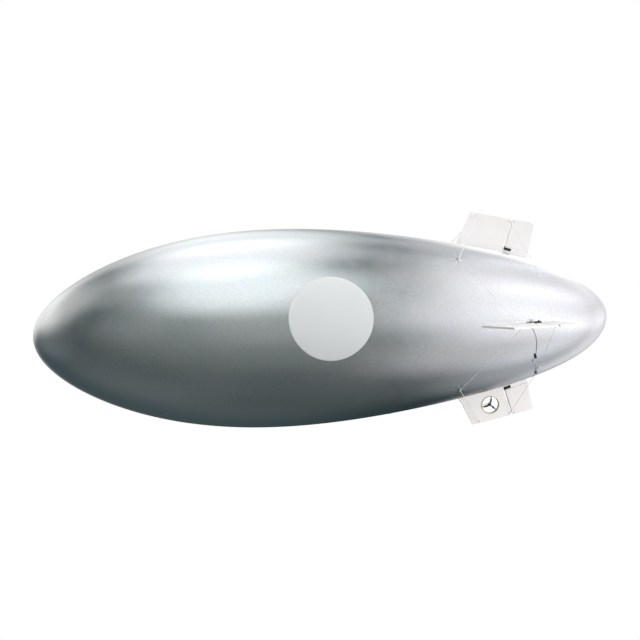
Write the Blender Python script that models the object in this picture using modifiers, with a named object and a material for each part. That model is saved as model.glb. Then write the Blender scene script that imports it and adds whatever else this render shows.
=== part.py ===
"""Radio-controlled advertising blimp: a film envelope with four foam board fins at its tail.

Metres, +X towards the nose, +Y to port, +Z up. The origin is the centre of buoyancy, on the envelope's axis.
"""

from math import atan2, comb, cos, hypot, pi, radians, sin, sqrt

import bmesh
import bpy
from mathutils import Matrix, Vector

# Envelope
LENGTH = 3.0
SHELL = 0.010
SWELL = (0.326, 0.428, 0.2585, 0.313)  # how full the outline is, from nose to tail
BUOYANCY_X = 1.425  # centre of buoyancy, behind the nose
STATIONS = 32
SEGMENTS = 60
GAP = 0.0003  # between pieces that touch

# Fins, in a plane through the hull's axis: (aft, out) from the foot of the hinge line on the skin
FIN_ANGLES = {"port": 0, "top": 90, "starboard": 180, "bottom": 270}
HINGE_FOOT_X = 2.466  # behind the nose
HINGE_RAKE = radians(17.3)  # of the hinge line from square to the hull's axis
FIN_ROOT_X = (2.221, 2.591)  # front and rear of the root, behind the nose
FIN_TIP = ((-0.222, 0.161), (0.112, 0.1885))  # front and rear corners of the tip
FIN_THICK = 0.008
ROOT_STRIP_OUT = 0.032  # top of the fixed strip below the control surface
HINGE_GAP = 0.0096  # fixed fin's rear edge ahead of the hinge axis
CONTROL_FRONT = 0.0016  # control surface's front edge behind the hinge axis
CONTROL_ROOT_OUT = 0.0375
ROD_R = 0.0013
COUPLER_R = 0.0035
BEARING_OUT = (0.161, 0.169)
BEARING_AFT = 0.0040
BEARING_THICK = 0.008
BEARING_ROOM = 0.005  # round the bearing, cut out of the control surface
BEARING_NOTCH_AFT = 0.0115

# Servos, one through the root strip of each fin
SERVO_NOTCH_FRONT = -0.0035
SERVO_AFT = (0.001, 0.033)
SERVO_OUT = (0.020, 0.032)
SERVO_THICK = 0.023
SERVO_TAB_AFT = (0.020, 0.0225)
SERVO_TAB_OUT = (0.0215, 0.0305)
SERVO_TAB_THICK = 0.032
SERVO_BOSS_R = 0.0028
SERVO_BOSS_FOOT = 0.024
SERVO_BOSS_HIGH = 0.0018

# Tail rotor in the bottom fin; the third axis is square to the fin, to starboard
ROTOR_CENTRE = (-0.100, 0.0875)
RING_R = (0.045, 0.048)
RING_HALF_WIDE = 0.007
MOTOR_R = 0.007
MOTOR_SPAN = (-0.0005, 0.019)
CUP_R = 0.0090
CUP_SPAN = (0.004, 0.012)
ARM_WIDE = 0.004
ARM_SPAN = (0.0045, 0.0085)
ARM_ANGLES = (60, 180, 300)
PROP_R = 0.0385
PROP_HUB_R = 0.0045
PROP_SPAN = (-0.0095, -0.0009)
PROP_BLADE_W = -0.0052
BLADE_THICK = 0.0012
BLADE_ANGLES = (57, 177, 297)

# Stays: cords from an anchor on the skin, midway between two fins, to both of them
CORD_R = 0.001
ANCHOR_R = 0.012
ANCHOR_THICK = 0.002
ANCHOR_EYE = 0.004
ANCHOR_POST_R = 0.0022
ANCHOR_POST_TOP = 0.0055
STAYS = {  # anchor behind the nose, its degrees above or below the side, the cords' ends on the fins
    "front": (2.151, 48, (-0.1825, 0.158)),
    "rear": (2.556, 45, (-0.016, 0.170)),
}

# Round advert panels on the two sides
PANEL_X = 1.537
PANEL_RISE = 8.3  # degrees above the side
PANEL_R = 0.185
PANEL_THICK = 0.0015
PANEL_GAP = 0.0006

# Radio gear on the skin: (behind the nose, degrees round from port, turned from the hull's length), then
# (length, width, height)
BOXES = {
    "battery": ((2.380, 245, 0), (0.070, 0.034, 0.018)),
    "receiver": ((2.500, 245, 0), (0.045, 0.026, 0.014)),
    "plug_port_1": ((2.5115, -28.6, 110), (0.027, 0.008, 0.005)),
    "plug_port_2": ((2.5605, -53.2, 108), (0.027, 0.009, 0.005)),
    "plug_starboard": ((2.5115, 208.6, -110), (0.027, 0.008, 0.005)),
}

# Leads on the skin, by points of (behind the nose, degrees round from port, height over the skin). Each
# servo's comes out of its case beside the fin, and all of them end in the receiver.
LEAD_R = 0.0012
LAID = 0.0015  # height of a lead's middle over the skin it lies on
LEAD_STEP = 0.0065
LEAD_POINTS_MOST = 80
LEADS = {
    "lead_top": (
        (2.4694, 88.6, 0.0188), (2.4692, 88.3, 0.0125), (2.470, 86.6, 0.0055),
        (2.479, 84, LAID), (2.5, 82, LAID),
        (2.53, 81.4, LAID), (2.56, 82.4, LAID), (2.587, 86, LAID), (2.6, 92, LAID), (2.601, 100, LAID),
        (2.596, 113, LAID), (2.592, 130, LAID), (2.594, 150, LAID), (2.601, 167, LAID), (2.605, 180, LAID),
        (2.602, 193, LAID), (2.597, 208, LAID), (2.591, 222, LAID), (2.583, 233, LAID), (2.572, 240.5, LAID),
        (2.556, 244, LAID), (2.539, 244.4, 0.003), (2.5237, 244.2, 0.0055),
    ),
    "lead_port_1": (
        (2.4694, -1.4, 0.0188), (2.4697, -1.7, 0.0125), (2.4725, -2.8, 0.0055), (2.481, -5.2, LAID),
        (2.498, -11.5, LAID), (2.507, -18.5, LAID), (2.5105, -23.5, LAID), (2.5138, -26.1, 0.0025),
    ),
    "lead_port_2": (
        (2.5075, -31.1, 0.0025), (2.5045, -32.8, LAID), (2.512, -36, LAID), (2.530, -40.2, LAID),
        (2.5405, -43.6, LAID), (2.5425, -46.4, LAID), (2.548, -48.6, LAID), (2.5562, -50.84, 0.0025),
    ),
    "lead_port_3": (
        (2.5648, -55.56, 0.0025), (2.5675, -59.5, LAID), (2.580, -67.5, LAID),
        (2.5965, -76.5, LAID), (2.608, -86, LAID),
        (2.607, -95, LAID), (2.591, -103.5, LAID), (2.564, -110.5, LAID), (2.539, -113.8, 0.003),
        (2.5237, -114.4, 0.0055),
    ),
    "lead_bottom": (
        (2.4953, -88.6, 0.0184), (2.497, -88.2, 0.0125), (2.503, -86.6, 0.0055), (2.517, -84.5, LAID),
        (2.545, -83.6, LAID), (2.574, -85, LAID), (2.594, -88, LAID),
        (2.5965, -92.5, LAID), (2.58, -99, LAID),
        (2.555, -105.5, LAID), (2.537, -110.3, 0.003), (2.5237, -112.6, 0.0055),
    ),
    "lead_starboard_1": (
        (2.4694, 181.4, 0.0188), (2.4697, 181.7, 0.0125), (2.4725, 182.8, 0.0055), (2.481, 185.2, LAID),
        (2.498, 191.5, LAID), (2.507, 198.5, LAID), (2.5105, 203.5, LAID), (2.5138, 206.1, 0.0025),
    ),
    "lead_starboard_2": (
        (2.5075, 211.1, 0.0025), (2.5045, 213.5, LAID), (2.51, 222, LAID),
        (2.527, 231, LAID), (2.546, 237, LAID),
        (2.552, 240.3, LAID), (2.541, 242.4, 0.003), (2.5237, 242.8, 0.0055),
    ),
    "lead_battery": (
        (2.4155, 244.5, 0.006), (2.43, 244.6, 0.003), (2.446, 245.4, LAID), (2.462, 245.2, 0.003),
        (2.4766, 244.5, 0.0055),
    ),
}
# From the motor's back along an arm, over the ring and up the fin's starboard face, in the rotor's frame
ROTOR_LEAD_START = (
    (0, 0, 0.0196), (-0.0004, -0.0001, 0.0230), (-0.0058, -0.0012, 0.0262), (-0.0155, -0.0033, 0.0235),
    (-0.0275, -0.0058, 0.0175), (-0.0390, -0.0083, 0.0122), (-0.0465, -0.0104, 0.0090),
    (-0.0530, -0.0140, 0.0064), (-0.0572, -0.0200, 0.0057), (-0.0588, -0.0290, 0.0057),
    (-0.0580, -0.0420, 0.0057), (-0.0562, -0.0550, 0.0058), (-0.0545, -0.0660, 0.0062),
)
ROTOR_LEAD_REST = (
    (2.3265, 268.0, 0.0035), (2.3345, 265.6, LAID), (2.356, 262.2, LAID), (2.388, 259.8, LAID),
    (2.420, 257.6, LAID), (2.446, 253.0, LAID), (2.4625, 248.2, 0.003), (2.4766, 246.3, 0.0055),
)

# Belly
PATCH_X = (1.15, 1.55)
PATCH_SIZE = (0.20, 0.05, 0.004)
VALVE_X = 1.85
VALVE_HOLE_R = 0.020
VALVE_PROFILE = (  # (radius, height above the skin) of the filler valve, from its top down
    (0.0, 0.016), (0.014, 0.016), (0.016, 0.014), (0.016, 0.0045), (0.030, 0.0035),
    (0.030, 0.0006), (0.0197, 0.0006), (0.0197, -0.022), (0.0, -0.022),
)

# colour, roughness, metallic
FILM = ((0.62, 0.64, 0.66), 0.28, 0.9)
FOAM = ((0.86, 0.85, 0.86), 0.6, 0.0)
WHITE = ((0.9, 0.9, 0.9), 0.45, 0.0)
BLACK = ((0.02, 0.02, 0.022), 0.45, 0.0)
CARBON = ((0.05, 0.045, 0.05), 0.35, 0.0)
BRASS = ((0.42, 0.36, 0.14), 0.4, 0.0)
STEEL = ((0.5, 0.47, 0.4), 0.3, 1.0)
CORD = ((0.85, 0.86, 0.85), 0.6, 0.0)
LEAD = ((0.16, 0.1, 0.1), 0.5, 0.0)


def clear_scene():
    for obj in list(bpy.data.objects):
        bpy.data.objects.remove(obj)


def new_collection(name):
    made = bpy.data.collections.new(name)
    bpy.context.scene.collection.children.link(made)
    return made


clear_scene()
PARTS = new_collection("advertising_blimp")
CUTTERS = new_collection("cutters")


def finish(obj, look, smooth=True):
    """Moves a piece into the part's collection and gives it a material of its own."""
    for collection in list(obj.users_collection):
        collection.objects.unlink(obj)
    PARTS.objects.link(obj)
    colour, roughness, metallic = look
    material = bpy.data.materials.new(obj.name)
    material.use_nodes = True
    shader = material.node_tree.nodes["Principled BSDF"]
    shader.inputs["Base Color"].default_value = (*colour, 1)
    shader.inputs["Roughness"].default_value = roughness
    shader.inputs["Metallic"].default_value = metallic
    obj.data.materials.append(material)
    if smooth and obj.type == "MESH":
        obj.data.shade_smooth()
        obj.data.set_sharp_from_angle(angle=radians(35))
    return obj


def as_cutter(obj):
    for collection in list(obj.users_collection):
        collection.objects.unlink(obj)
    CUTTERS.objects.link(obj)
    obj.hide_render = True
    obj.display_type = "WIRE"
    return obj


def boolean(obj, other, operation):
    modifier = obj.modifiers.new(operation.lower(), "BOOLEAN")
    modifier.operation = operation
    modifier.object = as_cutter(other)
    return modifier


def hull_radius(t):
    """Outer radius at a share t of the length, from the nose."""
    swell = sum(comb(3, i) * t**i * (1 - t) ** (3 - i) * s for i, s in enumerate(SWELL))
    return LENGTH * sqrt(max(t * (1 - t), 0)) * swell


def skin_frame(behind_nose, angle, height=0.0):
    """Axes on the skin: aft along it, round it and out of it. The angle starts at port and turns upwards."""
    t, step = behind_nose / LENGTH, 1e-4
    slope = atan2(hull_radius(t + step) - hull_radius(t - step), 2 * step * LENGTH)
    outward = Vector((0, cos(angle), sin(angle)))
    aft = Vector((-cos(slope), 0, 0)) + sin(slope) * outward
    normal = Vector((sin(slope), 0, 0)) + cos(slope) * outward
    place = Vector((BUOYANCY_X - behind_nose, 0, 0)) + hull_radius(t) * outward + height * normal
    return frame_of(aft, normal.cross(aft), normal, place)


def frame_of(x, y, z, place):
    matrix = Matrix((x, y, z)).transposed().to_4x4()
    matrix.translation = place
    return matrix


def fin_frame(angle):
    """Axes of a fin: aft, out along its hinge line, and square to it."""
    outward = Vector((0, cos(angle), sin(angle)))
    aft = Vector((-cos(HINGE_RAKE), 0, 0)) - sin(HINGE_RAKE) * outward
    out = Vector((-sin(HINGE_RAKE), 0, 0)) + cos(HINGE_RAKE) * outward
    place = Vector((BUOYANCY_X - HINGE_FOOT_X, 0, 0)) + hull_radius(HINGE_FOOT_X / LENGTH) * outward
    return frame_of(aft, out, aft.cross(out), place)


def skin_in_fin(behind_nose, height=0.0):
    """(aft, out) in a fin's plane of the skin's point that far behind the nose."""
    along = behind_nose - HINGE_FOOT_X
    rise = hull_radius(behind_nose / LENGTH) - hull_radius(HINGE_FOOT_X / LENGTH) + height
    aft = along * cos(HINGE_RAKE) - rise * sin(HINGE_RAKE)
    return aft, along * sin(HINGE_RAKE) + rise * cos(HINGE_RAKE)


def between(a, b, share):
    return tuple(p + (q - p) * share for p, q in zip(a, b))


def at_out(a, b, out):
    """The point of the line from a to b at that distance out."""
    return between(a, b, (out - a[1]) / (b[1] - a[1]))


def at_aft(a, b, aft):
    return between(a, b, (aft - a[0]) / (b[0] - a[0]))


def plate(name, outlines, thick, matrix, look):
    """A flat board with the given outline and holes."""
    curve = bpy.data.curves.new(name, "CURVE")
    curve.dimensions = "2D"
    curve.fill_mode = "BOTH"
    curve.extrude = thick / 2
    for points in outlines:
        spline = curve.splines.new("POLY")
        spline.points.add(len(points) - 1)
        for point, place in zip(spline.points, points):
            point.co = (*place, 0, 1)
        spline.use_cyclic_u = True
    obj = bpy.data.objects.new(name, curve)
    obj.matrix_world = matrix
    return finish(obj, look, smooth=False)


def mesh_of(name, work):
    """A new mesh object, from a bmesh."""
    mesh = bpy.data.meshes.new(name)
    work.to_mesh(mesh)
    work.free()
    obj = bpy.data.objects.new(name, mesh)
    PARTS.objects.link(obj)
    return obj


def box(name, low, high, matrix):
    work = bmesh.new()
    size = [h - l for l, h in zip(low, high)]
    middle = [(h + l) / 2 for l, h in zip(low, high)]
    place = Matrix.Translation(middle) @ Matrix.Diagonal((*size, 1))
    bmesh.ops.create_cube(work, size=1, matrix=place)
    obj = mesh_of(name, work)
    obj.matrix_world = matrix
    return obj


def rod(name, radius, low, high, matrix, segments=16):
    """A cylinder along the matrix's third axis, from low to high."""
    work = bmesh.new()
    place = Matrix.Translation((0, 0, (low + high) / 2))
    bmesh.ops.create_cone(
        work, cap_ends=True, segments=segments, radius1=radius, radius2=radius, depth=high - low, matrix=place
    )
    obj = mesh_of(name, work)
    obj.matrix_world = matrix
    return obj


def turned(name, profile, matrix, steps=32):
    """A profile of (radius, height) points, from the top down its outer side, turned about the third axis."""
    work = bmesh.new()
    points = [work.verts.new((radius, 0, height)) for radius, height in profile]
    for a, b in zip(points, points[1:]):
        work.edges.new((a, b))
    obj = mesh_of(name, work)
    obj.matrix_world = matrix
    screw = obj.modifiers.new("turn", "SCREW")
    screw.steps = screw.render_steps = steps
    screw.use_merge_vertices = True
    screw.merge_threshold = 1e-5
    return obj


def hinge_frame(angle):
    """On a fin's hinge foot, with the third axis out along the hinge line."""
    fin = fin_frame(angle)
    aft, out, square = (fin.col[i].to_3d() for i in range(3))
    return frame_of(square, aft, out, fin.translation)


def make_envelope():
    work = bmesh.new()
    points = []
    for i in range(STATIONS + 1):
        t = (1 - cos(pi * i / STATIONS)) / 2
        radius = 0 if i in (0, STATIONS) else hull_radius(t)
        points.append(work.verts.new((radius, 0, BUOYANCY_X - t * LENGTH)))
    for a, b in zip(points, points[1:]):
        work.edges.new((a, b))
    obj = mesh_of("envelope", work)
    obj.matrix_world = frame_of(Vector((0, 1, 0)), Vector((0, 0, 1)), Vector((1, 0, 0)), Vector())
    screw = obj.modifiers.new("turn", "SCREW")
    screw.steps = screw.render_steps = SEGMENTS
    screw.use_merge_vertices = True
    screw.merge_threshold = 1e-5
    shell = obj.modifiers.new("shell", "SOLIDIFY")
    shell.thickness = SHELL
    shell.offset = -1
    place = skin_frame(VALVE_X, radians(FIN_ANGLES["bottom"]))
    cutter = rod("valve_hole", VALVE_HOLE_R, -0.05, 0.05, place, segments=24)
    boolean(obj, cutter, "DIFFERENCE")
    finish(obj, FILM)


def make_valve():
    place = skin_frame(VALVE_X, radians(FIN_ANGLES["bottom"]))
    finish(turned("filler_valve", VALVE_PROFILE, place), WHITE)


def drop_on_skin(point, direction, height):
    """Moves a point along a direction that leads in towards the hull, to that height over the skin."""
    tries = 8
    for _ in range(tries):
        over = hypot(point.y, point.z) - hull_radius((BUOYANCY_X - point.x) / LENGTH) - height
        point = point + over * direction
    return point


def make_panel(side):
    """A thin panel that follows the skin and is round to a viewer square to its middle."""
    rise = PANEL_RISE if side == "port" else 180 - PANEL_RISE
    place = skin_frame(PANEL_X, radians(rise))
    inwards = -place.col[2].to_3d()
    work = bmesh.new()
    rings = 7
    spokes = [work.verts.new((PANEL_R * i / rings, 0, 0)) for i in range(rings + 1)]
    edges = [work.edges.new(pair) for pair in zip(spokes, spokes[1:])]
    bmesh.ops.spin(
        work, geom=spokes + edges, cent=(0, 0, 0), axis=(0, 0, 1), angle=2 * pi, steps=40, use_merge=True
    )
    bmesh.ops.remove_doubles(work, verts=work.verts, dist=1e-6)
    for vertex in work.verts:
        vertex.co = drop_on_skin(place @ vertex.co, inwards, PANEL_GAP)
    obj = mesh_of(f"panel_{side}", work)
    board = obj.modifiers.new("thickness", "SOLIDIFY")
    board.thickness = PANEL_THICK
    board.offset = 1
    finish(obj, WHITE)


def make_belly_patches():
    for name, behind_nose in zip(("front", "rear"), PATCH_X):
        place = skin_frame(behind_nose, radians(FIN_ANGLES["bottom"]), GAP)
        long, wide, thick = PATCH_SIZE
        low, high = (-long / 2, -wide / 2, 0), (long / 2, wide / 2, thick)
        finish(box(f"belly_patch_{name}", low, high, place), BLACK, smooth=False)


def fin_corners():
    root_front, root_rear = (skin_in_fin(x, GAP) for x in FIN_ROOT_X)
    return root_front, *FIN_TIP, root_rear


def fixed_outline():
    """Fixed fin: the root along the skin, the strip with the servo's notch, the tip."""
    root_front, tip_front, tip_rear, root_rear = fin_corners()
    steps = 12
    front, rear = FIN_ROOT_X
    root = [skin_in_fin(front + (rear - front) * i / steps, 2 * GAP) for i in range(steps + 1)]
    notch_rear = SERVO_AFT[1] + GAP
    notch_foot = SERVO_OUT[0] - GAP
    return root + [
        at_out(root_rear, tip_rear, ROOT_STRIP_OUT),
        (notch_rear, ROOT_STRIP_OUT),
        (notch_rear, notch_foot),
        (SERVO_NOTCH_FRONT, notch_foot),
        (SERVO_NOTCH_FRONT, ROOT_STRIP_OUT),
        (-HINGE_GAP, ROOT_STRIP_OUT),
        at_aft(tip_front, tip_rear, -HINGE_GAP),
        tip_front,
    ]


def control_outline():
    """Control surface, with a notch for the rod's outer bearing."""
    _, tip_front, tip_rear, root_rear = fin_corners()
    notch_low, notch_high = BEARING_OUT[0] - BEARING_ROOM, BEARING_OUT[1] + BEARING_ROOM
    return [
        (CONTROL_FRONT, CONTROL_ROOT_OUT),
        at_out(root_rear, tip_rear, CONTROL_ROOT_OUT),
        tip_rear,
        at_aft(tip_front, tip_rear, CONTROL_FRONT),
        (CONTROL_FRONT, notch_high),
        (BEARING_NOTCH_AFT, notch_high),
        (BEARING_NOTCH_AFT, notch_low),
        (CONTROL_FRONT, notch_low),
    ]


def circle(centre, radius, count=40):
    angles = (2 * pi * i / count for i in range(count))
    return [(centre[0] + radius * cos(a), centre[1] + radius * sin(a)) for a in angles]


def make_fin(side):
    angle = radians(FIN_ANGLES[side])
    control = "elevator" if side in ("port", "starboard") else "rudder"
    place = fin_frame(angle)
    outlines = [fixed_outline()]
    if side == "bottom":
        outlines.append(circle(ROTOR_CENTRE, RING_R[1] + GAP))
    plate(f"fin_{side}", outlines, FIN_THICK, place, FOAM)
    plate(f"{control}_{side}", [control_outline()], FIN_THICK, place, FOAM)

    hinge = hinge_frame(angle)
    foot = SERVO_OUT[1] + SERVO_BOSS_HIGH + GAP
    profile = (
        (0, BEARING_OUT[1] + 0.001),
        (ROD_R, BEARING_OUT[1] + 0.001),
        (ROD_R, CONTROL_ROOT_OUT - 0.0005),
        (COUPLER_R, CONTROL_ROOT_OUT - 0.0005),
        (COUPLER_R, foot),
        (0, foot),
    )
    finish(turned(f"torque_rod_{side}", profile, hinge, steps=16), CARBON)

    half = BEARING_THICK / 2
    low = (-HINGE_GAP + GAP, BEARING_OUT[0], -half)
    high = (BEARING_AFT, BEARING_OUT[1], half)
    bearing = box(f"hinge_bearing_{side}", low, high, place)
    boolean(bearing, rod("rod_hole", ROD_R + GAP, 0.15, 0.18, hinge), "DIFFERENCE")
    finish(bearing, BLACK)

    thick, tab = SERVO_THICK / 2, SERVO_TAB_THICK / 2
    low, high = zip(SERVO_AFT, SERVO_OUT, (-thick, thick))
    servo = box(f"servo_{side}", low, high, place)
    low, high = zip(SERVO_TAB_AFT, SERVO_TAB_OUT, (-tab, tab))
    boolean(servo, box("servo_tabs", low, high, place), "UNION")
    boss = rod("servo_boss", SERVO_BOSS_R, SERVO_BOSS_FOOT, SERVO_OUT[1] + SERVO_BOSS_HIGH, hinge)
    boolean(servo, boss, "UNION")
    finish(servo, BLACK)


def rotor_frame(degrees=0):
    """At the rotor's centre: the third axis to starboard, turned about it."""
    place = fin_frame(radians(FIN_ANGLES["bottom"])) @ Matrix.Translation((*ROTOR_CENTRE, 0))
    return place @ Matrix.Rotation(radians(degrees), 4, "Z")


def make_blade(name, degrees):
    """One twisted propeller blade, pointing along the turned frame's first axis."""
    work = bmesh.new()
    bmesh.ops.create_grid(work, x_segments=8, y_segments=2, size=0.5)
    root = PROP_HUB_R / 2
    for vertex in work.verts:
        share, side = vertex.co.x + 0.5, vertex.co.y
        out = root + (PROP_R - root) * share
        chord = 0.006 + 0.006 * sin(pi * min(share * 1.1, 1))
        pitch = radians(40 - 24 * share)
        vertex.co = (out, side * chord * cos(pitch), side * chord * sin(pitch) + PROP_BLADE_W)
    obj = mesh_of(name, work)
    obj.matrix_world = rotor_frame(degrees)
    blade = obj.modifiers.new("thickness", "SOLIDIFY")
    blade.thickness = BLADE_THICK
    blade.offset = 0
    return obj


def make_rotor():
    inner, outer = RING_R
    wide = RING_HALF_WIDE
    profile = ((inner, wide), (outer, wide), (outer, -wide), (inner, -wide), (inner, wide))
    finish(turned("rotor_ring", profile, rotor_frame(), steps=40), BRASS)

    bracket = rod("rotor_bracket", CUP_R, *CUP_SPAN, rotor_frame(), segments=24)
    for degrees in ARM_ANGLES:
        low = (MOTOR_R, -ARM_WIDE / 2, ARM_SPAN[0])
        high = (inner - GAP, ARM_WIDE / 2, ARM_SPAN[1])
        boolean(bracket, box("rotor_arm", low, high, rotor_frame(degrees)), "UNION")
    boolean(bracket, rod("motor_bore", MOTOR_R + GAP, -0.02, 0.03, rotor_frame(), segments=24), "DIFFERENCE")
    finish(bracket, BRASS)

    finish(rod("rotor_motor", MOTOR_R, *MOTOR_SPAN, rotor_frame(), segments=24), STEEL)

    propeller = rod("propeller", PROP_HUB_R, *PROP_SPAN, rotor_frame(), segments=16)
    for degrees in BLADE_ANGLES:
        boolean(propeller, make_blade("blade", degrees), "UNION")
    finish(propeller, BLACK)


def tube(name, points, radius):
    """A round cord through the points, as a mesh."""
    curve = bpy.data.curves.new(name, "CURVE")
    curve.dimensions = "3D"
    curve.bevel_depth = radius
    curve.bevel_resolution = 2
    curve.use_fill_caps = True
    spline = curve.splines.new("POLY")
    spline.points.add(len(points) - 1)
    for point, place in zip(spline.points, points):
        point.co = (*place, 1)
    source = bpy.data.objects.new(name, curve)
    PARTS.objects.link(source)
    graph = bpy.context.evaluated_depsgraph_get()
    mesh = bpy.data.meshes.new_from_object(source.evaluated_get(graph))
    bpy.data.objects.remove(source)
    work = bmesh.new()
    work.from_mesh(mesh)
    bmesh.ops.remove_doubles(work, verts=work.verts, dist=1e-6)
    work.to_mesh(mesh)
    work.free()
    obj = bpy.data.objects.new(name, mesh)
    PARTS.objects.link(obj)
    return obj


def make_stays(which):
    """Four anchors between the fins, each with one cord to either side."""
    clear = FIN_THICK / 2 + CORD_R + GAP
    behind_nose, rise, end = STAYS[which]
    quarters = {
        "port_top": rise,
        "starboard_top": 180 - rise,
        "starboard_bottom": 180 + rise,
        "port_bottom": 360 - rise,
    }
    for name, degrees in quarters.items():
        place = skin_frame(behind_nose, radians(degrees), 2 * GAP)
        fin_before = 90 * (degrees // 90)
        lower, upper = fin_frame(radians(fin_before)), fin_frame(radians(fin_before + 90))
        eye = place @ Vector((0, 0, ANCHOR_EYE))
        points = [lower @ Vector((*end, -clear)), eye, upper @ Vector((*end, clear))]
        stay = rod(f"stay_{which}_{name}", ANCHOR_R, 0, ANCHOR_THICK, place, segments=20)
        post = rod("anchor_post", ANCHOR_POST_R, ANCHOR_THICK / 4, ANCHOR_POST_TOP, place, segments=10)
        boolean(stay, post, "UNION")
        boolean(stay, tube("cord", points, CORD_R), "UNION")
        finish(stay, CORD)


def curve_through(knots, steps):
    """Points of one smooth curve through the knots, with so many steps from each knot to the next."""
    padded = [2 * knots[0] - knots[1], *knots, 2 * knots[-1] - knots[-2]]
    points = [knots[0]]
    for a, b, c, d in zip(padded, padded[1:], padded[2:], padded[3:]):
        for i in range(1, steps + 1):
            s = i / steps
            bend = (2 * a - 5 * b + 4 * c - d) * s**2 + (3 * b - a - 3 * c + d) * s**3
            points.append(b + ((c - a) * s + bend) / 2)
    return points


def evenly_spaced(points):
    """Points a lead's step apart along the line through the given ones."""
    travelled = [0.0]
    for a, b in zip(points, points[1:]):
        travelled.append(travelled[-1] + (b - a).length)
    count = min(round(travelled[-1] / LEAD_STEP), LEAD_POINTS_MOST - 1)
    spaced, at = [], 0
    for i in range(count + 1):
        goal = travelled[-1] * i / count
        while at < len(points) - 2 and travelled[at + 1] < goal:
            at += 1
        share = (goal - travelled[at]) / (travelled[at + 1] - travelled[at])
        spaced.append(points[at].lerp(points[at + 1], share))
    return spaced


def along_skin(route):
    """Places of a smooth route over the skin, by its points of (behind the nose, degrees, height)."""
    places = []
    for behind_nose, degrees, height in curve_through([Vector(knot) for knot in route], 8):
        places.append(skin_frame(behind_nose, radians(degrees), height).translation)
    return places


def make_lead(name, places):
    finish(tube(name, evenly_spaced(places), LEAD_R), LEAD)


def make_box_on_skin(name, place, size):
    behind_nose, degrees, turned_by = place
    long, wide, high = size
    frame = skin_frame(behind_nose, radians(degrees), GAP) @ Matrix.Rotation(radians(turned_by), 4, "Z")
    finish(box(name, (-long / 2, -wide / 2, 0), (long / 2, wide / 2, high), frame), BLACK, smooth=False)


make_envelope()
make_valve()
for side in ("port", "starboard"):
    make_panel(side)
make_belly_patches()
for side in FIN_ANGLES:
    make_fin(side)
make_rotor()
for which in STAYS:
    make_stays(which)
for name, (place, size) in BOXES.items():
    make_box_on_skin(name, place, size)
for name, route in LEADS.items():
    make_lead(name, along_skin(route))
rotor_lead = [rotor_frame() @ Vector(place) for place in ROTOR_LEAD_START] + along_skin(ROTOR_LEAD_REST)
make_lead("lead_rotor", curve_through(rotor_lead, 4))
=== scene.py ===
"""Looks of the radio-controlled advertising blimp. Metres, +X towards the nose, +Y to port, +Z up.

Angles are in degrees. Those round the hull start at port and turn upwards.
"""
from math import atan2, comb, cos, hypot, pi, radians, sin, sqrt

import bmesh
import bpy
import numpy as np
from mathutils import Matrix, Vector, noise


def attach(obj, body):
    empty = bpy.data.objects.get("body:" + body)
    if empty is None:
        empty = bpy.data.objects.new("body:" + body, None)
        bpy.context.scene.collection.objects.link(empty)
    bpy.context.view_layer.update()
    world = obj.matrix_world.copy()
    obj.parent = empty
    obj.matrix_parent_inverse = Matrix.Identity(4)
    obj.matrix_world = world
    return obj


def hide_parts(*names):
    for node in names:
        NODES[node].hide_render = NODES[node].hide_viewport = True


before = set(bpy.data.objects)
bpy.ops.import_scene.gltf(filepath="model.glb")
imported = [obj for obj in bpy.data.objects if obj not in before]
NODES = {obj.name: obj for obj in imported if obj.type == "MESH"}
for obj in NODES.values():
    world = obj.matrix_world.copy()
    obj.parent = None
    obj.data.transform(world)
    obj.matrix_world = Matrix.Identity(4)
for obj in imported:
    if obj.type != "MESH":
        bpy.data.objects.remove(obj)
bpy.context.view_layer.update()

# Hull and fins, as the frame has them. AFT and OUT give places in a fin's frame: behind its hinge line and
# out along it
LENGTH = 3.0
SWELL = (0.326, 0.428, 0.2585, 0.313)  # how full the outline is, from nose to tail
BUOYANCY_X = 1.425  # the frame's origin, behind the nose
GAP = 0.0003  # between pieces that touch
FIN_ANGLES = {"port": 0, "top": 90, "starboard": 180, "bottom": 270}
BODIES = {
    "port": "port_elevator", "top": "top_rudder",
    "starboard": "starboard_elevator", "bottom": "bottom_rudder",
}
HINGE_FOOT_X = 2.466
HINGE_RAKE = 17.3
FIN_ROOT_X = (2.221, 2.591)
FIN_THICK = 0.008
CONTROL_FRONT_AFT = 0.0016
CONTROL_ROOT_OUT = 0.0375
ROD_R = 0.0013
COUPLER_R = 0.0035
BEARING_OUT = (0.161, 0.169)
SERVO_AFT = (0.001, 0.033)
SERVO_OUT = (0.020, 0.032)
SERVO_THICK = 0.023
SERVO_TAB_AFT = (0.020, 0.0225)
SERVO_TAB_OUT = (0.0215, 0.0305)
SERVO_TAB_THICK = 0.032
SERVO_BOSS_R = 0.0028
SERVO_BOSS_FOOT = 0.024
SERVO_BOSS_HIGH = 0.0018
ROTOR_CENTRE = (-0.100, 0.0875)
RING_R = (0.045, 0.048)
RING_HALF_WIDE = 0.007
MOTOR_R = 0.007
MOTOR_SPAN = (-0.0005, 0.019)
PROP_R = 0.0385
PROP_HUB_R = 0.0045
PROP_SPAN = (-0.0095, -0.0009)
PROP_BLADE_W = -0.0052
BLADE_ANGLES = (57, 177, 297)
CORD_R = 0.001
ANCHOR_R = 0.012
ANCHOR_EYE = 0.004
STAYS = {  # anchor behind the nose, its angle above or below the side, the cords' ends on the fins
    "front": (2.151, 48, (-0.1825, 0.158)),
    "rear": (2.556, 45, (-0.016, 0.170)),
}
PANEL_X = 1.537
PANEL_RISE = 8.3
PANEL_R = 0.185
PANEL_THICK = 0.0015
PANEL_GAP = 0.0006
PATCH_X = {"front": 1.15, "rear": 1.55}
PATCH_SIZE = (0.20, 0.05)
VALVE_X = 1.85

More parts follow.
